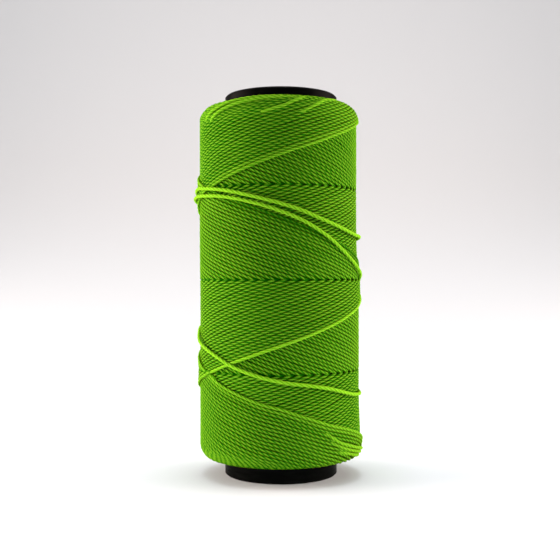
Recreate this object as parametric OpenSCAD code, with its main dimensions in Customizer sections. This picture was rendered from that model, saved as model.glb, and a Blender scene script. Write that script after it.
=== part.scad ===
// Cross-wound spool of twisted cord. One cord about 125 m long is wound to and fro on a plain
// plastic tube, two turns to a traverse, so that every pass crosses the passes below it.
// The origin is the centre of the tube's lower end, and +Z runs up the tube.

/* [Tube] */
// Length of the tube
tube_len = 120; // [118:1:160]
// Outer diameter of the tube
tube_od = 35.6; // [30:0.2:40]
// Wall of the tube
tube_wall = 1.8; // [1.2:0.1:3]
// Chamfer round both rims of the tube, inside and out
rim_chamfer = 0.5; // [0.2:0.1:0.8]

/* [Winding] */
// Diameter over the outermost passes of the cord
wind_od = 50.8; // [49:0.2:60]
// Length of the winding along the tube
wind_len = 111.5; // [100:0.5:114]
// Bare tube below the winding
bare_foot = 5.4; // [1:0.1:6]
// Radius of the rounded shoulders, where the passes turn back
shoulder_r = 4.5; // [3:0.1:5.5]
// Diameter of the cord
cord_d = 1; // [0.8:0.05:1.1]

/* [Outer layer] */
// Double traverses, up and down again, of the outermost layer
traverses = 6; // [4:1:6]
// Turns round the tube in one double traverse, before its small step back
turns = 4; // [3:1:4]
// Gap where one pass crosses over another
pass_gap = 0.5; // [0.5:0.05:0.8]
// Place of the first turn-back, in degrees round the tube from the front
first_turn = 14; // [0:1:60]
// How far round the shoulder the passes turn back, in degrees
turn_slope = 40; // [20:1:55]

/* [Slack turns] */
// Gap between the slack turns and the layer that they cross
slack_gap = 0.1; // [0.05:0.05:0.5]

/* [Hidden] */

seat_gap = 0.05; // between pieces that seat on each other
$fn = 96;

tube_r = tube_od / 2;
bore_r = tube_r - tube_wall;
rim = min(rim_chamfer, 0.4 * tube_wall);

cord_r = cord_d / 2;
rings = 4 * traverses; // sections of cord to a turn: two to each crossing
over_r = wind_od / 2 - cord_r;
under_r = over_r - cord_d - pass_gap;
core_r = (under_r - cord_r) * cos(180 / rings) - seat_gap;
wind_foot = bare_foot;
wind_head = bare_foot + wind_len;
foot_arc = wind_foot + shoulder_r;
head_arc = wind_head - shoulder_r;

green = [0.42, 0.68, 0.10];
bright_green = [0.55, 0.82, 0.16];

// A point at an angle round the tube from its front (-Y), positive towards +X
function round_tube(angle, height, radius) =
    [radius * sin(angle), -radius * cos(angle), height];

// Faces of a tube of "count" sections with "sides" corners each, closed at both ends
function tube_faces(count, sides) = concat(
    [[for (k = [0 : sides - 1]) k]],
    [for (i = [0 : count - 2]) for (k = [0 : sides - 1])
        let (a = i * sides + k, b = i * sides + (k + 1) % sides) [a, a + sides, b]],
    [for (i = [0 : count - 2]) for (k = [0 : sides - 1])
        let (a = i * sides + k, b = i * sides + (k + 1) % sides) [b, a + sides, b + sides]],
    [[for (k = [sides - 1 : -1 : 0]) (count - 1) * sides + k]]
);

// Direction of a line of points at point i
function heading(line, i) =
    let (a = line[max(i - 1, 0)], b = line[min(i + 1, len(line) - 1)]) (b - a) / norm(b - a);

// Corners of the section at point i: the first one points straight away from the tube's axis
function section(line, i, radius, sides) =
    let (along = heading(line, i),
         away = [line[i].x, line[i].y, 0] / norm([line[i].x, line[i].y]),
         side = cross(along, away) / norm(cross(along, away)),
         out = cross(side, along))
    [for (k = [0 : sides - 1])
        line[i] + radius * (cos(360 * k / sides) * out + sin(360 * k / sides) * side)];

module swept_cord(line, sides) {
    corners = [for (i = [0 : len(line) - 1]) each section(line, i, cord_r, sides)];
    polyhedron(corners, tube_faces(len(line), sides), convexity = 10);
}

// ---- Tube ----

module core_tube() {
    color([0.06, 0.06, 0.065])
    rotate_extrude()
    polygon([
        [bore_r, rim],
        [bore_r + rim, 0],
        [tube_r - rim, 0],
        [tube_r, rim],
        [tube_r, tube_len - rim],
        [tube_r - rim, tube_len],
        [bore_r + rim, tube_len],
        [bore_r, tube_len - rim]
    ]);
}

// ---- Body of the winding, below its outermost layer ----

// Points of a quarter circle round [x, z], from one angle to another
function quarter(x, z, from, to) =
    [for (i = [0 : 6]) let (a = from + (to - from) * i / 6)
        [x + shoulder_r * cos(a), z + shoulder_r * sin(a)]];

module inner_winding() {
    color(green * 0.8)
    difference() {
        rotate_extrude()
        polygon(concat(
            [[0, wind_foot]],
            quarter(core_r - shoulder_r, foot_arc, -90, 0),
            quarter(core_r - shoulder_r, head_arc, 0, 90),
            [[0, wind_head]]
        ));
        translate([0, 0, wind_foot - 1])
        cylinder(h = wind_len + 2, r = tube_r + seat_gap);
    }
}

// ---- Outermost layer: one unbroken cord ----
// A pass is one traverse. After a double traverse the cord lies one step back round the tube,
// so that the passes of a direction are spread evenly, and the sections of two crossing passes
// meet at the same angle, at every second section.

pass_sections = 2 * traverses * turns - 2;
last_pass = 2 * traverses - 1;
turn_sections = 2; // sections before and after a turn-back over which the slope eases off
mid_offset = (under_r + over_r) / 2 - core_r;
turn_rise = (shoulder_r + mid_offset) * sin(turn_slope);
low_turn = foot_arc - turn_rise;
high_turn = head_arc + turn_rise;

// Share of the way from one turn-back to the next, at section j of a pass
function way(j) =
    let (slope = 1 / (pass_sections - turn_sections), k = pass_sections - j)
    j < turn_sections ? slope * j * j / (2 * turn_sections)
    : k < turn_sections ? 1 - slope * k * k / (2 * turn_sections)
    : slope * (j - turn_sections / 2);

// 1 where the pass lies over the one that it meets at section j, 0 where it lies under it:
// a later pass always crosses over an earlier one
function over(pass, j) =
    j == 0 ? 0.5
    : j == pass_sections ? 0.5
    : j % 2 == 1 ? (over(pass, j - 1) + over(pass, j + 1)) / 2
    : let (met = (pass - 1 - j + 16 * traverses) % (2 * traverses)) pass > met ? 1 : 0;

// Radius of the line of the cord at a height: it follows the core and its shoulders
function seat_radius(height, level) =
    let (offset = under_r - core_r + level * (over_r - under_r),
         past = max(height - head_arc, foot_arc - height, 0))
    core_r - shoulder_r + sqrt(pow(shoulder_r + offset, 2) - past * past);

function layer_point(i) =
    let (pass = min(floor(i / pass_sections), last_pass),
         j = i - pass * pass_sections,
         share = pass % 2 == 0 ? way(j) : 1 - way(j),
         height = low_turn + share * (high_turn - low_turn))
    round_tube(first_turn + i * 360 / rings, height, seat_radius(height, over(pass, j)));

layer_line = [for (i = [0 : (last_pass + 1) * pass_sections]) layer_point(i)];

// Least distance between two turns of the layer, less the cord: measured at twelve points to
// a section, between points at the same angle round the tube and the ones beside it
steps = 12;
fine_line = [for (i = [0 : len(layer_line) - 2]) for (s = [0 : steps - 1])
    layer_line[i] + (layer_line[i + 1] - layer_line[i]) * s / steps];
function least_gap() =
    let (turn = rings * steps, last = len(fine_line) - 1)
    min([for (i = [0 : last - turn]) for (k = [i + turn - 1 : turn : last - 1]) for (e = [0 : 2])
        if (k + e <= last) norm(fine_line[i] - fine_line[k + e])]) - cord_d;

module outer_layer() {
    echo(turns_in_layer = (len(layer_line) - 1) / rings, least_gap_in_layer = least_gap());
    color(green)
    swept_cord(layer_line, 6);
}

// ---- Slack turns: stretches of the last turns that stand off the layer ----
// Each route is a list of [degrees from the front, height, level]. Level 0 lies on the core and
// level 1 lies over the outermost layer. The ends go down between the passes, on to the core.

slack_low = core_r + seat_gap + cord_r;
slack_high = wind_od / 2 + slack_gap + cord_r;
slack_sections = 27;

upper_route = [
    [-106, 88.9, 0], [-94, 90.3, 0.8], [-82, 90.4, 1.1], [-70, 89.9, 1.05], [-58, 89.4, 1.03],
    [-46, 88.8, 1], [-34, 87.9, 1], [-22, 86.6, 1], [-10, 85.2, 1], [2, 83.7, 1], [14, 82, 1],
    [26, 80, 1], [38, 78.3, 1], [50, 76.8, 1], [62, 75.7, 1], [74, 74.7, 1], [86, 74, 0.6],
    [98, 73.6, 0]
];
middle_route = [
    [-106, 86.9, 0], [-94, 87.3, 0.85], [-82, 87.6, 1.2], [-70, 87.4, 1.15], [-58, 87.2, 1.05],
    [-46, 86.8, 1], [-34, 86, 1], [-22, 84.8, 1], [-10, 83.3, 1], [2, 81.4, 1], [14, 79.2, 1],
    [26, 76.4, 1], [38, 73.2, 1], [50, 69.8, 1], [62, 66.6, 1], [74, 63.2, 1], [86, 59.4, 0]
];
lower_route = [
    [-106, 48.6, 0], [-94, 46.8, 0.9], [-82, 44.7, 1.1], [-70, 42.4, 1.1], [-58, 40.4, 1.05],
    [-46, 38.3, 1], [-34, 36, 1], [-22, 34.2, 1], [-10, 32.7, 1], [2, 31.6, 1], [14, 30.8, 1],
    [26, 30, 1], [38, 28.9, 1], [50, 27.5, 1], [62, 26.5, 1], [74, 26.4, 0.85], [86, 27.7, 0]
];

// Smooth curve through a route's points, at u from 0 to 1
function along_route(route, u) =
    let (spans = len(route) - 1,
         s = min(floor(u * spans), spans - 1),
         t = u * spans - s,
         a = route[max(s - 1, 0)],
         b = route[s],
         c = route[s + 1],
         d = route[min(s + 2, spans)])
    0.5 * (2 * b + (c - a) * t + (2 * a - 5 * b + 4 * c - d) * t * t
           + (3 * b - a - 3 * c + d) * t * t * t);

function slack_line(route) =
    [for (i = [0 : slack_sections - 1]) let (p = along_route(route, i / (slack_sections - 1)))
        round_tube(p[0], p[1], slack_low + p[2] * (slack_high - slack_low))];

module slack_turn(route) {
    color(bright_green)
    swept_cord(slack_line(route), 8);
}

module slack_turn_upper() {
    slack_turn(upper_route);
}

module slack_turn_middle() {
    slack_turn(middle_route);
}

module slack_turn_lower() {
    slack_turn(lower_route);
}

core_tube();
inner_winding();
outer_layer();
slack_turn_upper();
slack_turn_middle();
slack_turn_lower();
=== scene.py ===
"""Cross-wound spool: a twisted lime-green cord wound to and fro on a plain black tube.

All lengths are in metres. The tube stands on z = 0 and its axis is the z axis. An angle round
the tube counts from its front, the -Y side, and is positive towards +X.
"""

import math

import bpy
import mathutils
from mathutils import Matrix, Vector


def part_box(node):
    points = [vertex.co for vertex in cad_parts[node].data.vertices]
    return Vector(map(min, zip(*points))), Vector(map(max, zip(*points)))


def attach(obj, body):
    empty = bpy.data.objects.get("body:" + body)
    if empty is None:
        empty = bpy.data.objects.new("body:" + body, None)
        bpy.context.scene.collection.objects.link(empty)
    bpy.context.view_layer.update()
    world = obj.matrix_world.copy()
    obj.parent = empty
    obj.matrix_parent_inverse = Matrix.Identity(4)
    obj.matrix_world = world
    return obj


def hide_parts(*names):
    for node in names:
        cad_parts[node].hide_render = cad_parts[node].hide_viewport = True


MM = 0.001
BODY = "root"

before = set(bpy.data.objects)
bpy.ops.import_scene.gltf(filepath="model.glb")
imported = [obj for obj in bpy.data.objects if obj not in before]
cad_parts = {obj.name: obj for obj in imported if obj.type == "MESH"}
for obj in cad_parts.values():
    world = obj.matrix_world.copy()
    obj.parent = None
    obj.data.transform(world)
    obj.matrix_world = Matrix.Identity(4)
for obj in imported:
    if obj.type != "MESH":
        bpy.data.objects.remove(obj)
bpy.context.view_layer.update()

# ---------------------------------------------------------------- sizes

TUBE_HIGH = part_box("core_tube")[1]
WIND_LOW, WIND_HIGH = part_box("inner_winding")
LAYER_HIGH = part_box("outer_layer")[1]

# The cord
CORD_D = 1.0 * MM
CORD_R = CORD_D / 2
PLIES = 3
LAY = 5.75 * MM  # length of cord in which the plies go once round
PLY_DEPTH = 0.22  # depth of the grooves between the plies, as a share of the cord's radius

# The package: the outermost passes, seen as one body
SEAT_R = TUBE_HIGH.x + 0.05 * MM  # where the innermost turns lie on the tube
GIRTH_FOOT = LAYER_HIGH.x + 0.03 * MM  # mean radius at the foot
GIRTH_HEAD = GIRTH_FOOT - 0.3 * MM  # and at the head
LOPSIDED_FOOT = 0.42 * MM  # how much thicker it is on its left, at the foot
LOPSIDED_HEAD = 0.92 * MM  # and at the head
FOOT_ENDS = 50 * MM  # heights between which the one turns into the other
HEAD_STARTS = 80 * MM
FOOT_BULGE = 0.5 * MM  # how much thicker it is on its right, at the very foot
BULGE_FACES, BULGE_WIDTH = 95, 66  # degrees round the tube, and to either side
BULGE_LOW, BULGE_HIGH = 10 * MM, 27 * MM  # heights between which that fades out
FOOT = WIND_LOW.z + CORD_R  # height of a cord's line where it turns back, below and above
HEAD = WIND_HIGH.z - CORD_R
MIDDLE = (FOOT + HEAD) / 2
SHOULDER_R = 4.5 * MM
SHOULDER_RUN = 4.1 * MM  # height over which a shoulder falls away
SHOULDER_AT = MIDDLE - FOOT - SHOULDER_RUN  # distance from the middle where that starts

# The winding
STRANDS = 51  # passes of one direction, side by side, in one turn of the tube
WINDOWS = 4  # half turns of the tube to a traverse
TURN_EASE = 2.3 * MM  # how softly a pass turns back
CLIMB = (HEAD - FOOT + TURN_EASE) / 2  # height that a pass climbs in one turn of the tube
FIRST_TURN = math.radians(-239.7)  # where the newest pass turns back
STEP = 0.65 * MM  # how far the newest passes stand above the ones a whole layer older
SINK = 0.9 * MM  # how far a pass goes down where newer ones cross over it
SAG, SAG_LEFT = 0.3 * MM, 0.65 * MM  # how far the turn-backs at the head are pushed down
SAG_FACES, SAG_WIDTH = -52, 50  # degrees round the tube where the left one is, and to either side
SAG_LOW, SAG_HIGH = HEAD - 7 * MM, HEAD - 1 * MM  # heights between which that comes in
SLIP_UP, SLIP_DOWN = 1.35 * MM, 0.8 * MM  # slips of the newest falling passes near the foot
SLIP_UP_FACES, SLIP_UP_WIDTH = 95, 66
SLIP_DOWN_FACES, SLIP_DOWN_WIDTH = -32, 34
SLIP_FADES = 5 * MM  # from where a pass turns back

# The slack turns: [degrees round the tube, height in mm, level]. Level 0 lies on the older
# turns and level 1 lies over the outermost passes.
SEAT_GAP = 0.05 * MM
SLACK_GAP = 0.1 * MM
SECTIONS = 0.4 * MM  # spacing of the sections along a single turn
TUCKED = 0.08  # share of a single turn, at each end, that is tucked in among the others
LOOSE_R = 1.08 * CORD_R  # a cord swells where nothing presses on it
SLACK_LOW = WIND_HIGH.x + SEAT_GAP + CORD_R  # radius of the line of a cord at level 0
SLACK_HIGH = LAYER_HIGH.x + SLACK_GAP + CORD_R  # and at level 1
UPPER_ROUTE = [
    [-106, 87.2, 0], [-94, 88.3, 0.8], [-82, 89.4, 1.0], [-70, 89.9, 1.05], [-58, 89.4, 1.03],
    [-46, 88.8, 1], [-34, 87.9, 1], [-22, 86.6, 1], [-10, 85.2, 1], [2, 83.7, 1], [14, 82, 1],
    [26, 80, 1], [38, 78.3, 1], [50, 76.8, 1], [62, 75.7, 1], [74, 75.1, 1.1], [86, 74.7, 0.6],
    [98, 74.3, 0],
]
MIDDLE_ROUTE = [
    [-106, 84.9, 0], [-94, 86, 0.8], [-82, 87, 1.15], [-70, 87.4, 1.15], [-58, 87.2, 1.05],
    [-46, 86.8, 1], [-34, 86, 1], [-22, 84.8, 1], [-10, 83.3, 1], [2, 81.4, 1], [14, 79.2, 1],
    [26, 76.4, 1], [38, 73.2, 1], [50, 69.8, 1], [62, 66.6, 1.08], [74, 63.2, 1.15], [86, 59.4, 0.1],
]
LOWER_ROUTE = [
    [-106, 48.6, 0], [-94, 46.8, 0.75], [-82, 44.7, 0.9], [-70, 42.4, 1.1], [-58, 40.4, 1.05],
    [-46, 38.3, 1], [-34, 36, 1], [-22, 34.2, 1], [-10, 32.7, 1], [2, 31.6, 1], [14, 30.8, 1],
    [26, 30, 1], [38, 28.9, 1], [50, 27.5, 1], [62, 26.5, 1.03], [74, 26.4, 1], [86, 27.7, 0.1],
]

# Stretches of single turns that stand proud of their neighbours: [degrees round the tube,
# height in mm, rise in mm above the mean surface]. Their ends go down between the passes.
PROUD_PAINTED_LIGHT = 0.55  # how much of a free cord's painted light they have
PROUD_ROUTES = {
    "proud_turn_head_left_1": [
        [-60, 109.2, -1.0], [-55, 110.4, 0.3], [-48, 111.7, 0.8], [-41, 112.8, 0.85], [-32, 113.9, 0.8],
        [-23, 114.6, 0.6], [-13, 115.1, 0.4], [0, 115.4, 0.2], [14, 115.7, -0.3], [30, 116.0, -1.2],
    ],
    "proud_turn_head_left_2": [
        [-68, 110.2, -1.0], [-62, 111.3, 0.2], [-54, 112.7, 0.55], [-46, 113.8, 0.6], [-36, 114.9, 0.5],
        [-25, 115.5, 0.3], [-14, 115.8, 0.1], [0, 116, -0.4], [12, 116.2, -1.2],
    ],
    "proud_turn_head_middle": [
        [-20, 109.9, -1.2], [-13, 110.9, 0.2], [-5, 111.9, 0.5], [2, 112.8, 0.5],
        [8, 114.1, 0.45], [14, 115.2, 0.4], [20, 115.9, -0.5],
    ],
    "proud_turn_head_right": [
        [6, 109.8, -1.2], [13, 110.9, 0.2], [22, 112.9, 0.5], [28, 114.2, 0.5],
        [34, 115.3, 0.4], [45, 116, 0.2], [56, 116.2, -0.5], [67, 116.3, -1.2],
    ],
    "proud_turn_foot_right_1": [
        [26, 17.4, -0.8], [34, 15.4, 0.4], [39, 13.8, 0.95], [46, 12.3, 1.1], [55, 11.1, 1.1],
        [70, 9.5, 1.0], [85, 8.4, 0.8], [100, 7.9, 0.2], [114, 7.6, -0.9],
    ],
    "proud_turn_foot_right_2": [
        [30, 15.2, -0.8], [38, 12.9, 0.3], [46, 11.2, 0.7], [55, 9.9, 0.8], [70, 8.4, 0.9],
        [85, 7.4, 0.8], [100, 6.9, 0.4], [114, 6.6, -0.6],
    ],
    "proud_turn_foot_right_3": [
        [38, 11.6, -0.8], [46, 9.8, 0.2], [55, 8.7, 0.6], [70, 7.2, 0.9], [85, 6.5, 1.0],
        [100, 6.2, 0.6], [114, 6, -0.6],
    ],
    "proud_turn_left": [
        [-84.7, 92.6, -0.8], [-84.7, 91.2, 0.0], [-84.7, 89.8, 0.45], [-84.7, 88.2, 0.65],
        [-84.7, 86.6, 0.7], [-84.8, 84.8, 0.65], [-84.9, 82.9, 0.3], [-85, 81, -0.9],
    ],
}

# ---------------------------------------------------------------- camera

CAMERA_PLACE = (-0.3 * MM, -292 * MM, 61.6 * MM)
IMAGE_WIDTH = 560
FOCAL_LENGTH = 911.8  # in pixels of that width
SENSOR_WIDTH = 36.0
CLIP_START = 10 * MM


def make_camera():
    data = bpy.data.cameras.new("camera")
    data.sensor_width = SENSOR_WIDTH
    data.lens = FOCAL_LENGTH / IMAGE_WIDTH * SENSOR_WIDTH
    data.clip_start = CLIP_START
    camera = bpy.data.objects.new("camera", data)
    camera.location = CAMERA_PLACE
    camera.rotation_euler = (math.radians(90), 0, 0)
    bpy.context.scene.collection.objects.link(camera)
    bpy.context.scene.camera = camera


make_camera()


# ---------------------------------------------------------------- writing node trees

class Value:
    """A number in a node tree. Arithmetic on it adds math nodes."""

    def __init__(self, tree, socket):
        self.tree = tree
        self.socket = socket

    def __add__(self, other):
        return self.tree.math("ADD", self, other)

    def __radd__(self, other):
        return self.tree.math("ADD", other, self)

    def __sub__(self, other):
        return self.tree.math("SUBTRACT", self, other)

    def __rsub__(self, other):
        return self.tree.math("SUBTRACT", other, self)

    def __mul__(self, other):
        return self.tree.math("MULTIPLY", self, other)

    def __rmul__(self, other):
        return self.tree.math("MULTIPLY", other, self)

    def __truediv__(self, other):
        return self.tree.math("DIVIDE", self, other)

    def __rtruediv__(self, other):
        return self.tree.math("DIVIDE", other, self)


class Tree:
    """A node tree in the making."""

    def __init__(self, nodes, links):
        self.nodes = nodes
        self.links = links

    def plug(self, socket, value):
        """Links a value to a socket, or sets the socket to a constant."""
        if isinstance(value, Value):
            self.links.new(value.socket, socket)
        elif value is not None:
            socket.default_value = value

    def add(self, kind, inputs=None, **settings):
        """A node with these settings, and with these inputs by name or place."""
        node = self.nodes.new(kind)
        for name, setting in settings.items():
            setattr(node, name, setting)
        for place, value in (inputs or {}).items():
            self.plug(node.inputs[place], value)
        return node

    def out(self, node, place=0):
        return Value(self, node.outputs[place])

    def math(self, operation, *values):
        inputs = dict(enumerate(values))
        return self.out(self.add("ShaderNodeMath", inputs, operation=operation))

    def smooth(self, value, start, end, low=0.0, high=1.0):
        """low before start and high after end, with a soft change between them."""
        inputs = {
            "Value": value, "From Min": start, "From Max": end, "To Min": low, "To Max": high
        }
        return self.out(self.add("ShaderNodeMapRange", inputs, interpolation_type="SMOOTHSTEP"))

    def point(self, x, y, z):
        return self.out(self.add("ShaderNodeCombineXYZ", {0: x, 1: y, 2: z}))

    def noise(self, x, y, z, detail=1.0):
        """Smooth noise from -0.5 to 0.5, at a point in units of about one bump."""
        inputs = {"Vector": self.point(x, y, z), "Scale": 1.0, "Detail": detail}
        return self.out(self.add("ShaderNodeTexNoise", inputs)) - 0.5


class Recipe(Tree):
    """A Geometry Nodes tree with named inputs."""

    KINDS = {float: "NodeSocketFloat", int: "NodeSocketInt", type(None): "NodeSocketMaterial"}

    def __init__(self, name, **inputs):
        self.group = bpy.data.node_groups.new(name, "GeometryNodeTree")
        super().__init__(self.group.nodes, self.group.links)
        sockets = self.group.interface
        sockets.new_socket("Geometry", in_out="OUTPUT", socket_type="NodeSocketGeometry")
        sockets.new_socket("Geometry", in_out="INPUT", socket_type="NodeSocketGeometry")
        for label, value in inputs.items():
            kind = self.KINDS[type(value)]
            socket = sockets.new_socket(label, in_out="INPUT", socket_type=kind)
            if value is not None:
                socket.default_value = value
        self.entry = self.nodes.new("NodeGroupInput")

    def input(self, label):
        return Value(self, self.entry.outputs[label])

    def store(self, geometry, **values):
        """Stores values at the points of a geometry, under their names."""
        for name, value in values.items():
            inputs = {"Geometry": geometry, "Name": name, "Value": value}
            kinds = {"data_type": "FLOAT", "domain": "POINT"}
            geometry = self.out(self.add("GeometryNodeStoreNamedAttribute", inputs, **kinds))
        return geometry

    def stored(self, name):
        node = self.add("GeometryNodeInputNamedAttribute", {"Name": name}, data_type="FLOAT")
        return self.out(node)

    def moved(self, geometry, x, y, z):
        inputs = {"Geometry": geometry, "Position": self.point(x, y, z)}
        return self.out(self.add("GeometryNodeSetPosition", inputs))

    def placed_round(self, geometry, angle, height, radius):
        """Moves points to an angle round the tube, a height and a radius."""
        x = self.math("SINE", angle) * radius
        y = self.math("COSINE", angle) * radius * -1.0
        return self.moved(geometry, x, y, height)

    def finish(self, geometry):
        """Ends the tree: real, smooth faces of one material."""
        real = self.out(self.add("GeometryNodeRealizeInstances", {"Geometry": geometry}))
        soft = self.out(self.add("GeometryNodeSetShadeSmooth", {"Geometry": real}))
        inputs = {"Geometry": soft, "Material": self.input("Material")}
        last = self.out(self.add("GeometryNodeSetMaterial", inputs))
        self.plug(self.nodes.new("NodeGroupOutput").inputs[0], last)
        return self


def add_object(name, mesh):
    thing = bpy.data.objects.new(name, mesh)
    bpy.context.scene.collection.objects.link(thing)
    return thing


def grow(name, recipe, start=None, **values):
    """A plain mesh object that a recipe makes, from a mesh to start with and these inputs."""
    piece = add_object(name, start or bpy.data.meshes.new(name))
    modifier = piece.modifiers.new(name, "NODES")
    modifier.node_group = recipe.group
    for item in recipe.group.interface.items_tree:
        if item.in_out == "INPUT" and item.name in values:
            modifier[item.identifier] = values[item.name]
    graph = bpy.context.evaluated_depsgraph_get()
    grown = piece.evaluated_get(graph)
    mesh = bpy.data.meshes.new_from_object(
        grown, preserve_all_data_layers=True, depsgraph=graph
    )
    piece.modifiers.clear()
    piece.data = mesh
    mesh.name = name
    return piece


def settle(piece):
    """Makes a piece part of the object."""
    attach(piece, BODY)


# ---------------------------------------------------------------- materials

class Finish(Tree):
    """A material round one Principled shader, whose constants are set by name."""

    def __init__(self, name, **constants):
        self.material = bpy.data.materials.new(name)
        self.material.use_nodes = True
        tree = self.material.node_tree
        super().__init__(tree.nodes, tree.links)
        self.shader = tree.nodes["Principled BSDF"]
        for label, value in constants.items():
            self.shader.inputs[label.replace("_", " ")].default_value = value

    def set(self, label, value):
        self.plug(self.shader.inputs[label], value)

    def attribute(self, name):
        return self.out(self.add("ShaderNodeAttribute", attribute_name=name), "Fac")

    def grain(self, scale, detail=2.0, stretch=(1, 1, 1)):
        """Noise from 0 to 1 through the piece, so many bumps to the metre."""
        place = self.out(self.add("ShaderNodeTexCoord"), "Object")
        mapped = self.out(self.add("ShaderNodeMapping", {"Vector": place, "Scale": stretch}))
        inputs = {"Vector": mapped, "Scale": scale, "Detail": detail}
        return self.out(self.add("ShaderNodeTexNoise", inputs))

    def mix(self, share, first, second):
        node = self.add("ShaderNodeMix", {"Factor": share}, data_type="RGBA")
        for place, value in ((6, first), (7, second)):
            self.plug(node.inputs[place], value)
        return self.out(node, 2)

    def bump(self, height, distance, strength=1.0):
        inputs = {"Height": height, "Distance": distance, "Strength": strength}
        self.set("Normal", self.out(self.add("ShaderNodeBump", inputs)))


# Colours of the cord packed among its neighbours, and lighter copies as painted light for cord standing
# free of them
# Painted shade in the grooves between the plies, the plain face, and a painted highlight on each crest
GROOVE_SHADE, LIT_GROOVE_SHADE = (0.004, 0.110, 0.0003, 1), (0.100, 0.37, 0.003, 1)
FACE, LIT_FACE = (0.008, 0.182, 0.0006, 1), (0.165, 0.46, 0.006, 1)
CREST_HIGHLIGHT, LIT_CREST_HIGHLIGHT = (0.142, 0.375, 0.014, 1), (0.240, 0.57, 0.024, 1)
FIBRES_ALONG = 350  # to the metre
FIBRES_AROUND = 10
FIBRE_BUMP = 0.06 * MM
SHEEN = (0.7, 0.9, 0.01, 1)
GLINT = (0.65, 1, 0.1, 1)  # colour of the wax's highlights
# Colours of the older turns, painted dark as painted shade, and of the tube
DARK_TURN_SHADE, LIGHTER_TURN_SHADE = (0.001, 0.020, 0.0001, 1), (0.004, 0.060, 0.0003, 1)
BLACK, WORN_BLACK = (0.0018, 0.0021, 0.0019, 1), (0.0040, 0.0044, 0.0042, 1)


def cord_finish():
    """Waxed twisted cord: painted highlight along each ply's crest, painted shade in the grooves
    between them.

    Cord that stands free is painted brighter than cord packed among its neighbours, as painted light.
    """
    finish = Finish("twisted_cord", IOR=1.04, Specular_Tint=GLINT)
    finish.set("Sheen Weight", 0.30)  # loose fibres catch light from the side
    finish.set("Sheen Roughness", 0.35)
    finish.set("Sheen Tint", SHEEN)
    crown, tone, free = (finish.attribute(name) for name in ("crown", "tone", "free"))
    along, around = finish.attribute("along"), finish.attribute("around")
    fibres = finish.noise(along * FIBRES_ALONG, around * FIBRES_AROUND, tone * 40, 2.0)
    groove_shade = finish.mix(free, GROOVE_SHADE, LIT_GROOVE_SHADE)
    face = finish.mix(free, FACE, LIT_FACE)
    crest_highlight = finish.mix(free, CREST_HIGHLIGHT, LIT_CREST_HIGHLIGHT)
    # Painted shade: the grooves between the plies get the groove's dark colour
    sides = finish.mix(finish.smooth(crown + fibres * 0.3, 0.0, 0.4), groove_shade, face)
    # Painted highlight along the crest of each ply
    lit = finish.smooth(crown + fibres * 0.6 + tone * 0.35, 0.1, 0.7)
    open_side = finish.mix(lit, sides, crest_highlight)
    # Painted shade: the inward sides of packed cord, and the ends of passes where they go under, get
    # the groove's dark colour; free cord is spared it
    unshaded = finish.smooth(finish.attribute("outward") + free * 0.9, 0.25, 1.0)
    finish.set("Base Color", finish.mix(unshaded, groove_shade, open_side))
    finish.set("Roughness", finish.smooth(fibres, -0.3, 0.3, 0.40, 0.60))
    finish.bump(fibres, FIBRE_BUMP, 0.7)
    return finish.material


def shade_finish():
    """The older turns, painted nearly black-green as painted shade, for they lie deep in shade."""
    finish = Finish("inner_turns", Roughness=0.8, Specular_IOR_Level=0.05)
    lines = finish.grain(900, 2.0, (1, 1, 3))
    finish.set("Base Color", finish.mix(finish.smooth(lines, 0.35, 0.65), DARK_TURN_SHADE, LIGHTER_TURN_SHADE))
    finish.bump(lines, 0.2 * MM)
    return finish.material


def tube_finish():
    """Black moulded plastic, satin, with a faint grain and fine rubbed marks."""
    finish = Finish("black_tube_plastic", IOR=1.05)
    rubbed = finish.grain(160, 3.0, (1, 1, 6))
    finish.set("Base Color", finish.mix(finish.smooth(rubbed, 0.45, 0.75), BLACK, WORN_BLACK))
    finish.set("Roughness", finish.smooth(rubbed, 0.3, 0.7, 0.26, 0.42))
    finish.bump(finish.grain(2200), 0.02 * MM, 0.25)
    return finish.material


TWISTED_CORD = cord_finish()
INNER_TURNS = shade_finish()
TUBE_PLASTIC = tube_finish()


# ---------------------------------------------------------------- the form of the cord

PLY_POINTS = 4  # points of the cord's outline to a ply
PLY_REACH = 1.04  # how far its crests reach, as a share of the cord's radius
PLY_SHARPNESS = 0.6  # below 1, the crests are broad and the grooves are narrow


def ply_outline(recipe, radius):
    """Outline of the cord: soft plies round its middle, a crest and a groove to each."""
    count = PLY_POINTS * PLIES
    index = recipe.out(recipe.add("GeometryNodeInputIndex"))
    circle = recipe.add("GeometryNodeCurvePrimitiveCircle", {"Resolution": count}, mode="RADIUS")
    turn = index * (math.tau / count)
    crown = recipe.math("COSINE", index * (math.tau / PLY_POINTS)) * 0.5 + 0.5
    swell = recipe.math("POWER", crown, PLY_SHARPNESS) * PLY_DEPTH
    reach = radius * (swell + (PLY_REACH - PLY_DEPTH))
    x = recipe.math("COSINE", turn) * reach
    y = recipe.math("SINE", turn) * reach
    outline = recipe.moved(recipe.out(circle), x, y, 0.0)
    return recipe.store(outline, crown=crown, around=index / count)


def evened(recipe, line, spacing):
    """A line with its points at even spacing."""
    inputs = {"Curve": line, "Length": spacing}
    return recipe.out(recipe.add("GeometryNodeResampleCurve", inputs, mode="LENGTH"))


def from_axis(recipe):
    """Distance of a point from the tube's axis."""
    place = recipe.out(recipe.add("GeometryNodeInputPosition"))
    parts = recipe.add("ShaderNodeSeparateXYZ", {0: place})
    x, y = recipe.out(parts, 0), recipe.out(parts, 1)
    return recipe.math("SQRT", x * x + y * y)


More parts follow.
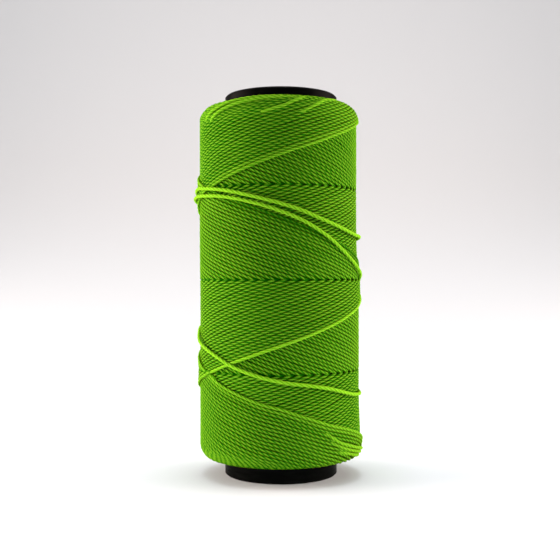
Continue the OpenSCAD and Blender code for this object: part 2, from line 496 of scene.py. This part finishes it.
def twisted(recipe, line, radius, phase, tone, free, sunk=0.0):
    """A cord along a line, with its plies turning as a Z twist does.

    Each point of its surface stores how far outward it lies, from -1 to 1, less a share of painted
    shade where the cord goes down between its neighbours.
    """
    length = recipe.out(recipe.add("GeometryNodeSplineParameter"), "Length")
    seat = from_axis(recipe)
    marked = recipe.store(line, along=length, tone=tone, free=free, seat=seat, sunk=sunk)
    inputs = {"Curve": marked, "Tilt": length * (math.tau / LAY) + phase}
    turned = recipe.out(recipe.add("GeometryNodeSetCurveTilt", inputs))
    inputs = {"Curve": turned, "Profile Curve": ply_outline(recipe, radius), "Fill Caps": True}
    cord = recipe.out(recipe.add("GeometryNodeCurveToMesh", inputs))
    outward = (from_axis(recipe) - recipe.stored("seat")) / radius - recipe.stored("sunk")
    return recipe.store(cord, outward=outward)


def separate_lines(recipe, count, points):
    """Lines of so many points each, with each point's line and its share of the way stored."""
    index = recipe.out(recipe.add("GeometryNodeInputIndex"))
    row = recipe.out(recipe.add("GeometryNodeMeshLine", {"Count": count * points}))
    line = recipe.math("FLOOR", (index + 0.5) / points)
    share = (index - line * points) / (points - 1.0)
    numbered = recipe.store(row, line=line, share=share)
    ends = recipe.add("GeometryNodeInputMeshEdgeVertices")
    owners = [recipe.math("FLOOR", (recipe.out(ends, k) + 0.5) / points) for k in (0, 1)]
    between = 1.0 - recipe.math("COMPARE", *owners, 0.5)
    inputs = {"Geometry": numbered, "Selection": between}
    cut = recipe.add("GeometryNodeDeleteGeometry", inputs, domain="EDGE", mode="EDGE_FACE")
    return recipe.out(recipe.add("GeometryNodeMeshToCurve", {"Mesh": recipe.out(cut)}))


# ---------------------------------------------------------------- the form of the package

def girth(recipe, angle, height):
    """Mean radius of the package at a place, before its shoulders fall away."""
    share = recipe.smooth(height, FOOT_ENDS, HEAD_STARTS)
    lopsided = LOPSIDED_FOOT + share * (LOPSIDED_HEAD - LOPSIDED_FOOT)
    mean = GIRTH_FOOT + share * (GIRTH_HEAD - GIRTH_FOOT)
    low = recipe.smooth(height, BULGE_LOW, BULGE_HIGH, 1.0, 0.0)
    bulge = facing(recipe, angle, BULGE_FACES, BULGE_WIDTH) * low * FOOT_BULGE
    return mean + bulge - lopsided * recipe.math("SINE", angle)


def shoulder_drop(recipe, height):
    """How far a shoulder has fallen away at a height."""
    past = recipe.math("ABSOLUTE", height - MIDDLE) - SHOULDER_AT
    past = recipe.math("MINIMUM", recipe.math("MAXIMUM", past, 0.0), SHOULDER_R)
    return SHOULDER_R - recipe.math("SQRT", SHOULDER_R * SHOULDER_R - past * past)


def facing(recipe, angle, centre, width):
    """1 at an angle round the tube, going softly to 0 at so many degrees to either side."""
    turned = recipe.math("COSINE", angle - math.radians(centre))
    return recipe.smooth(turned, math.cos(math.radians(width)), 1.0)


def sag(recipe, angle, height):
    """How far the turn-backs at the head are pushed down, most at the front left."""
    left = facing(recipe, angle, SAG_FACES, SAG_WIDTH)
    return (left * SAG_LEFT + SAG) * recipe.smooth(height, SAG_LOW, SAG_HIGH)


def slip(recipe, angle):
    """How far the newest passes have slipped up or down, low on the front."""
    up = facing(recipe, angle, SLIP_UP_FACES, SLIP_UP_WIDTH)
    down = facing(recipe, angle, SLIP_DOWN_FACES, SLIP_DOWN_WIDTH)
    return up * SLIP_UP - down * SLIP_DOWN


def plain_smooth(value, start, end):
    """0 before start and 1 after end, with a soft change between them."""
    share = min(max((value - start) / (end - start), 0.0), 1.0)
    return share * share * (3 - 2 * share)


def plain_girth(angle, height):
    """girth() as a plain number."""
    share = plain_smooth(height, FOOT_ENDS, HEAD_STARTS)
    lopsided = LOPSIDED_FOOT + share * (LOPSIDED_HEAD - LOPSIDED_FOOT)
    mean = GIRTH_FOOT + share * (GIRTH_HEAD - GIRTH_FOOT)
    low = 1 - plain_smooth(height, BULGE_LOW, BULGE_HIGH)
    turned = math.cos(angle - math.radians(BULGE_FACES))
    bulge = plain_smooth(turned, math.cos(math.radians(BULGE_WIDTH)), 1.0) * low * FOOT_BULGE
    return mean + bulge - lopsided * math.sin(angle)


def plain_drop(height):
    """shoulder_drop() as a plain number."""
    past = min(max(abs(height - MIDDLE) - SHOULDER_AT, 0.0), SHOULDER_R)
    return SHOULDER_R - math.sqrt(SHOULDER_R * SHOULDER_R - past * past)


def round_tube(angle, height, radius):
    return mathutils.Vector((math.sin(angle) * radius, -math.cos(angle) * radius, height))


# ---------------------------------------------------------------- single turns along a route

FINE_STEPS = 2000


def along_route(route, share):
    """Smooth curve through a route's points, at a share of its spans."""
    spans = len(route) - 1
    span = min(int(share * spans), spans - 1)
    t = share * spans - span
    near = [route[min(max(span + k, 0), spans)] for k in (-1, 0, 1, 2)]
    return [
        0.5 * (2 * b + (c - a) * t + (2 * a - 5 * b + 4 * c - d) * t ** 2
               + (3 * b - a - 3 * c + d) * t ** 3)
        for a, b, c, d in zip(*near)
    ]


def even_points(place, spacing):
    """Points at even distances along a curve, given as a function of a share from 0 to 1."""
    fine = [place(k / FINE_STEPS) for k in range(FINE_STEPS + 1)]
    reached = [0.0]
    for a, b in zip(fine, fine[1:]):
        reached.append(reached[-1] + (b - a).length)
    count = round(reached[-1] / spacing)
    points, k = [], 0
    for n in range(count + 1):
        goal = reached[-1] * n / count
        while k < FINE_STEPS - 1 and reached[k + 1] < goal:
            k += 1
        share = (goal - reached[k]) / (reached[k + 1] - reached[k])
        points.append(fine[k].lerp(fine[k + 1], share))
    return points


def single_turn_recipe():
    """A cord along the line that it is given, with a section at each of its points."""
    r = Recipe("single_turn", Radius=CORD_R, Painted_Light=1.0, Material=None)
    line = r.out(r.add("GeometryNodeMeshToCurve", {"Mesh": Value(r, r.entry.outputs[0])}))
    share = r.out(r.add("GeometryNodeSplineParameter"), "Factor")
    # Painted light: the free cord's lighter colours, fading out where the ends tuck in among the others
    free = r.input("Painted_Light") * r.smooth(r.math("MINIMUM", share, 1.0 - share), 0.0, TUCKED)
    return r.finish(twisted(r, line, r.input("Radius"), 0.0, 0.0, free))


SINGLE_TURN = single_turn_recipe()


def make_single_turn(name, points, radius, free):
    line = bpy.data.meshes.new(name)
    line.from_pydata(points, [(k, k + 1) for k in range(len(points) - 1)], [])
    values = {"Radius": radius, "Painted_Light": free, "Material": TWISTED_CORD}
    return grow(name, SINGLE_TURN, line, **values)


def slack_point(route, share):
    """Where the line of a slack turn runs: it rides on the package's lopsided girth."""
    degrees, height, level = along_route(route, share)
    angle = math.radians(degrees)
    thicker = plain_girth(angle, height * MM) - plain_girth(0, height * MM)
    radius = SLACK_LOW + level * (SLACK_HIGH - SLACK_LOW) + min(max(level, 0), 1) * thicker
    return round_tube(angle, height * MM, radius)


def make_slack_turn(name, replaced, route):
    points = even_points(lambda share: slack_point(route, share), SECTIONS)
    piece = make_single_turn(name, points, LOOSE_R, free=1.0)
    settle(piece)
    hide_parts(replaced)
    sum((b - a).length for a, b in zip(points, points[1:]))


make_slack_turn("loose_turn_upper", "slack_turn_upper", UPPER_ROUTE)
make_slack_turn("loose_turn_middle", "slack_turn_middle", MIDDLE_ROUTE)
make_slack_turn("loose_turn_lower", "slack_turn_lower", LOWER_ROUTE)


def proud_point(route, share):
    """Where the line of a proud turn runs, by its rise above the package's mean surface."""
    degrees, height, rise = along_route(route, share)
    angle = math.radians(degrees)
    seat = plain_girth(angle, height * MM) - plain_drop(height * MM) - CORD_R
    return round_tube(angle, height * MM, seat + rise * MM)


def make_proud_turns():
    for name, route in PROUD_ROUTES.items():
        points = even_points(lambda share: proud_point(route, share), SECTIONS)
        settle(make_single_turn(name, points, CORD_R, free=PROUD_PAINTED_LIGHT))


make_proud_turns()


# ---------------------------------------------------------------- the passes

TUCK = 2.6  # strands' width by which a stretch goes on below the passes that cover it
LAST_TUCK = 0.06  # how much further it goes in the last half turn, in half turns
SWAY = 0.30 * MM  # how unevenly the passes lie, up and down
BOB = 0.16 * MM  # and in and out
NEWEST_RISE = 0.3 * MM
DIVE_REACH = 0.85  # strands' width in which a pass goes under
# How strongly a pass is darkened, as painted shade, where it goes under newer ones
DIVE_SHADE = 1.5


def pass_recipe():
    """The stretches of every pass of one direction that show in one half turn of the tube.

    The newest pass is line 0, and each next one is a strand older and turns back a strand
    earlier round the tube. Travel counts half turns of the tube from where the pass turned
    back. A stretch comes out from under the newest pass of the other direction, and goes under
    again where it meets passes newer than itself.
    """
    r = Recipe(
        "shown_passes",
        Window=0,
        Rising=1.0,
        Strands=STRANDS,
        Points=190,
        Spacing=0.52 * MM,
        Cord=CORD_R,
        Step=STEP,
        Phase=0.23,
        Newest=0.4,
        Fronts=1.6,
        Seed=0,
        Material=None,
    )
    window, rising, strands, seed = (
        r.input(label) for label in ("Window", "Rising", "Strands", "Seed")
    )
    lines = separate_lines(r, strands, r.input("Points"))
    strand, share = r.stored("line"), r.stored("share")

    age = strand / strands
    tuck = TUCK / strands
    last = r.math("GREATER_THAN", window, WINDOWS - 1.5) * LAST_TUCK
    start = window + age - tuck
    end = window + tuck + last + 1.0
    travel = start + share * (end - start)
    angle = travel * math.pi - age * math.tau + FIRST_TURN

    to_end = WINDOWS / 2 - r.math("ABSOLUTE", travel - WINDOWS / 2)
    ease = TURN_EASE / CLIMB
    climb = r.math("SQRT", to_end * to_end + ease * ease) * (CLIMB / 2) - TURN_EASE / 2
    upper = r.math("GREATER_THAN", travel, WINDOWS / 2)
    sway = r.noise(travel * 9.0, strand * 7.3, seed * 3.1 + rising) * SWAY
    height = FOOT + climb + upper * (HEAD - FOOT - climb * 2.0)
    height = height + sway * r.smooth(to_end, 0.0, 0.2)
    shown_height = MIDDLE + (height - MIDDLE) * rising
    falls_last = r.math("GREATER_THAN", window - rising * WINDOWS, WINDOWS * 2 - 1.5)
    slipped = slip(r, angle) * r.smooth(HEAD - height, 0.0, SLIP_FADES) * falls_last
    shown_height = shown_height + slipped - sag(r, angle, shown_height)

    met = (window + 1.0 - travel) * strands
    dive = 1.0 - r.smooth(met + rising, -DIVE_REACH, DIVE_REACH)
    built = r.input("Step") * (travel - window - age * 2.0)
    bob = r.noise(travel * 14.0, strand * 5.7, seed * 4.7 - rising) * BOB
    # The newest passes stand higher and take the free cord's lighter colours as painted light; a
    # negative share lowers them and paints them darker as painted shade
    newest = (1.0 - r.smooth(strand, 0.2, r.input("Fronts"))) * r.input("Newest")
    radius = girth(r, angle, shown_height) - shoulder_drop(r, height) - r.input("Cord")
    radius = radius + built + bob + newest * NEWEST_RISE - dive * SINK
    placed = r.placed_round(lines, angle, shown_height, radius)

    tone = r.noise(travel * 3.0, strand * 11.9, seed + rising * 5.0) * 1.6
    drift = r.noise(travel * 5.0, strand * 0.4, seed * 1.7 + rising * 3.0) * 5.0
    turned = strand * r.input("Phase") + drift
    marked = r.store(placed, newest=newest, shade=tone, phase=turned, dive=dive)
    even = evened(r, marked, r.input("Spacing"))
    phase, shade, free = (r.stored(name) for name in ("phase", "shade", "newest"))
    sunk = r.stored("dive") * DIVE_SHADE
    return r.finish(twisted(r, even, r.input("Cord"), phase, shade, free, sunk))


# Direction, its sign, and how much the twist is turned from one strand to the next
DIRECTIONS = (("rising", 1.0, 2.4), ("falling", -1.0, 3.4))
# Half turns in which the newest passes aren't like the rest
FRONTS = {
    ("rising", 1): {"Newest": 0.95, "Fronts": 0.9},  # the newest one stands out most: raised, and painted lighter as painted light
    ("falling", 1): {"Newest": -0.35, "Fronts": 2.0},  # a slack turn lies along it: lowered, and painted darker as the slack turn's painted shadow
}


def make_passes():
    recipe = pass_recipe()
    made = []
    for word, rising, phase in DIRECTIONS:
        for window in range(WINDOWS):
            values = {"Window": window, "Rising": rising, "Seed": window, "Phase": phase}
            values.update(FRONTS.get((word, window), {}))
            name = f"{word}_passes_{window + 1}"
            made.append(grow(name, recipe, Material=TWISTED_CORD, **values))
    return made


passes = make_passes()
for piece in passes:
    settle(piece)
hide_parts("outer_layer")


# ---------------------------------------------------------------- both ends of the winding

# Where the inner layers turn back, as shares of the way out from the tube to the shoulder
TURN_BACK_RINGS = [0.16, 0.36, 0.56, 0.76]
RING_TURN = 0.7  # how far a ring is turned from the one inside it, in radians
RING_CROSSING = 0.42 * MM  # how far a turn-back lies over the one before it, and under the next
RING_SWAY = 0.5 * MM
RING_PHASE = 2.4
# How much of a free cord's painted light the turn-backs have
RING_PAINTED_LIGHT = 0.15


def turn_back_recipe():
    """One ring of turn-backs: each pass comes up, turns over its neighbours and goes down."""
    r = Recipe(
        "turn_backs",
        Share=0.5,
        End=1.0,
        Start=0.0,
        Strands=STRANDS,
        Points=40,
        Spacing=0.55 * MM,
        Reach=7.5 * MM,
        Cord=CORD_R,
        Seed=0,
        Material=None,
    )
    strands, seed = r.input("Strands"), r.input("Seed")
    lines = separate_lines(r, strands, r.input("Points"))
    strand, share = r.stored("line"), r.stored("share")
    side = share * 2.0 - 1.0
    run = side * r.input("Reach")
    angle = r.input("Start") + strand / strands * math.tau + run * (math.pi / CLIMB)
    drop = r.math("SQRT", run * run + TURN_EASE * TURN_EASE) * 0.5 - TURN_EASE / 2
    sway = r.noise(strand * 3.3, seed * 9.1, 0.0) * RING_SWAY
    height = MIDDLE + (HEAD - drop + sway - MIDDLE) * r.input("End")
    height = height - sag(r, angle, height)
    crossing = r.smooth(side, -0.35, 0.35, -RING_CROSSING, RING_CROSSING)
    shoulder = girth(r, angle, height) - shoulder_drop(r, height)
    radius = SEAT_R + (shoulder - SEAT_R) * r.input("Share") + crossing
    placed = r.placed_round(lines, angle, height, radius)
    marked = r.store(placed, strand=strand, shade=r.noise(strand * 5.9, share, seed * 2.0))
    even = evened(r, marked, r.input("Spacing"))
    phase = r.stored("strand") * RING_PHASE
    return r.finish(twisted(r, even, r.input("Cord"), phase, r.stored("shade"), RING_PAINTED_LIGHT))


def make_turn_backs():
    recipe = turn_back_recipe()
    for word, end in (("head", 1.0), ("foot", -1.0)):
        for ring, share in enumerate(TURN_BACK_RINGS):
            start = RING_TURN * ring + end
            values = {"Share": share, "End": end, "Start": start, "Seed": ring}
            name = f"turn_backs_{word}_{ring + 1}"
            settle(grow(name, recipe, Material=TWISTED_CORD, **values))


make_turn_backs()


# ---------------------------------------------------------------- the older turns below

DRUM_SIDES = 96
DRUM_DEPTH = STEP + 1.05 * CORD_D  # how far it lies below the mean girth
DRUM_ROWS = 8  # rows of faces between the shoulders
SHOULDER_ROWS = 10  # and over each shoulder


def drum_heights():
    """Heights of the drum's rows, closer together over its shoulders."""
    quarter = [math.pi / 2 * k / SHOULDER_ROWS for k in range(SHOULDER_ROWS + 1)]
    run = [SHOULDER_RUN * (1 - math.cos(a)) for a in quarter]
    top = HEAD - SAG - SAG_LEFT
    low, high = FOOT + SHOULDER_RUN, top - SHOULDER_RUN
    between = [low + (high - low) * k / DRUM_ROWS for k in range(1, DRUM_ROWS)]
    return [FOOT + r for r in run] + between + [top - r for r in reversed(run)]


def make_drum():
    """The body of older turns, a cord's thickness below the passes that show."""
    angles = [math.tau * k / DRUM_SIDES for k in range(DRUM_SIDES)]
    heights = drum_heights()
    rows = [[round_tube(a, heights[0], SEAT_R) for a in angles]]
    for z in heights:
        depth = DRUM_DEPTH + plain_drop(z)
        rows.append([round_tube(a, z, plain_girth(a, z) - depth) for a in angles])
    rows.append([round_tube(a, heights[-1], SEAT_R) for a in angles])
    rows.append(rows[0])
    points = [point for row in rows for point in row]
    faces = []
    for row in range(len(rows) - 1):
        for k in range(DRUM_SIDES):
            a, b = row * DRUM_SIDES + k, row * DRUM_SIDES + (k + 1) % DRUM_SIDES
            faces.append((a, b, b + DRUM_SIDES, a + DRUM_SIDES))
    mesh = bpy.data.meshes.new("inner_turns")
    mesh.from_pydata(points, [], faces)
    mesh.materials.append(INNER_TURNS)
    mesh.shade_smooth()
    piece = add_object("inner_turns", mesh)
    settle(piece)
    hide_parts("inner_winding")


make_drum()


# ---------------------------------------------------------------- the tube

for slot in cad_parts["core_tube"].material_slots:
    slot.material = TUBE_PLASTIC


# ---------------------------------------------------------------- floor and light

FLOOR_HALF = 3.0
FLOOR_FRONT = -2.0
BEND_START = 0.25  # where the floor starts to sweep up into the backdrop
BEND_R = 1.4
BACKDROP_TOP = 3.0
BEND_STEPS = 30
# The floor is painted greyer towards the backdrop as painted shade where the light falls off; near the
# object it is bluish, offsetting the warm side lamps
NEAR_FLOOR, NEAR_ENDS, MIDDLE_STARTS = (0.69, 0.74, 0.82, 1), 0.02, 0.30
MIDDLE_FLOOR, MIDDLE_ENDS, FAR_STARTS = (0.64, 0.67, 0.705, 1), 0.50, 1.05
FAR_FLOOR = (0.63, 0.625, 0.635, 1)


def floor_finish():
    """Pale card, painted a little greyer towards the backdrop as painted shade, where the light falls
    off.
    """
    finish = Finish("pale_floor", Roughness=0.85, Specular_IOR_Level=0.15)
    place = finish.out(finish.add("ShaderNodeTexCoord"), "Object")
    back = finish.out(finish.add("ShaderNodeSeparateXYZ", {0: place}), "Y")
    pale = finish.mix(finish.smooth(back, NEAR_ENDS, MIDDLE_STARTS), NEAR_FLOOR, MIDDLE_FLOOR)
    grey = finish.mix(finish.smooth(back, MIDDLE_ENDS, FAR_STARTS), pale, FAR_FLOOR)
    finish.set("Base Color", grey)
    return finish.material


def make_floor():
    profile = [(FLOOR_FRONT, 0.0), (BEND_START, 0.0)]
    for k in range(1, BEND_STEPS + 1):
        a = math.pi / 2 * k / BEND_STEPS
        profile.append((BEND_START + BEND_R * math.sin(a), BEND_R - BEND_R * math.cos(a)))
    profile.append((BEND_START + BEND_R, BACKDROP_TOP))
    points = [(x, y, z) for y, z in profile for x in (-FLOOR_HALF, FLOOR_HALF)]
    faces = [(2 * k, 2 * k + 1, 2 * k + 3, 2 * k + 2) for k in range(len(profile) - 1)]
    mesh = bpy.data.meshes.new("floor")
    mesh.from_pydata(points, [], faces)
    mesh.materials.append(floor_finish())
    mesh.shade_smooth()
    add_object("floor", mesh)


WARM, WHITE = (1.0, 0.80, 0.68), (1.0, 1.0, 1.0)
LIGHTS = {  # place, point that it faces, width and height, watts, colour
    "soft_left": ((-0.60, 0.04, 0.12), (0.0, 0.0, 0.06), (0.55, 0.45), 11.0, WARM),
    "soft_right": ((0.60, 0.04, 0.12), (0.0, 0.0, 0.06), (0.55, 0.45), 8.8, WARM),
    "soft_top": ((0.0, 0.25, 1.10), (0.0, 0.0, 0.06), (1.40, 1.00), 5.6, WHITE),
    "soft_overhead": ((0.0, 0.02, 1.00), (0.0, 0.0, 0.06), (0.35, 0.35), 3.8, WHITE),
    "soft_back": ((0.0, 0.70, 1.20), (0.0, 1.60, 0.65), (2.00, 0.40), 9.0, WHITE),
    "floor_card": ((0.0, -0.07, 0.003), (0.0, 0.0, 0.03), (0.16, 0.04), 0.026, WHITE),
}
ROOM_LIGHT = 0.25


def make_light(name, place, faced, size, watts, colour):
    data = bpy.data.lights.new(name, "AREA")
    data.color = colour
    data.shape = "RECTANGLE"
    data.size, data.size_y = size
    data.energy = watts
    lamp = bpy.data.objects.new(name, data)
    lamp.location = place
    away = mathutils.Vector(faced) - mathutils.Vector(place)
    lamp.rotation_euler = away.to_track_quat("-Z", "Y").to_euler()
    bpy.context.scene.collection.objects.link(lamp)


def make_studio():
    make_floor()
    for name, setting in LIGHTS.items():
        make_light(name, *setting)
    world = bpy.data.worlds.new("room")
    world.use_nodes = True
    sky = world.node_tree.nodes["Background"]
    sky.inputs["Color"].default_value = (*WHITE, 1)
    sky.inputs["Strength"].default_value = ROOM_LIGHT
    bpy.context.scene.world = world
    bpy.context.scene.view_settings.view_transform = "Standard"


make_studio()
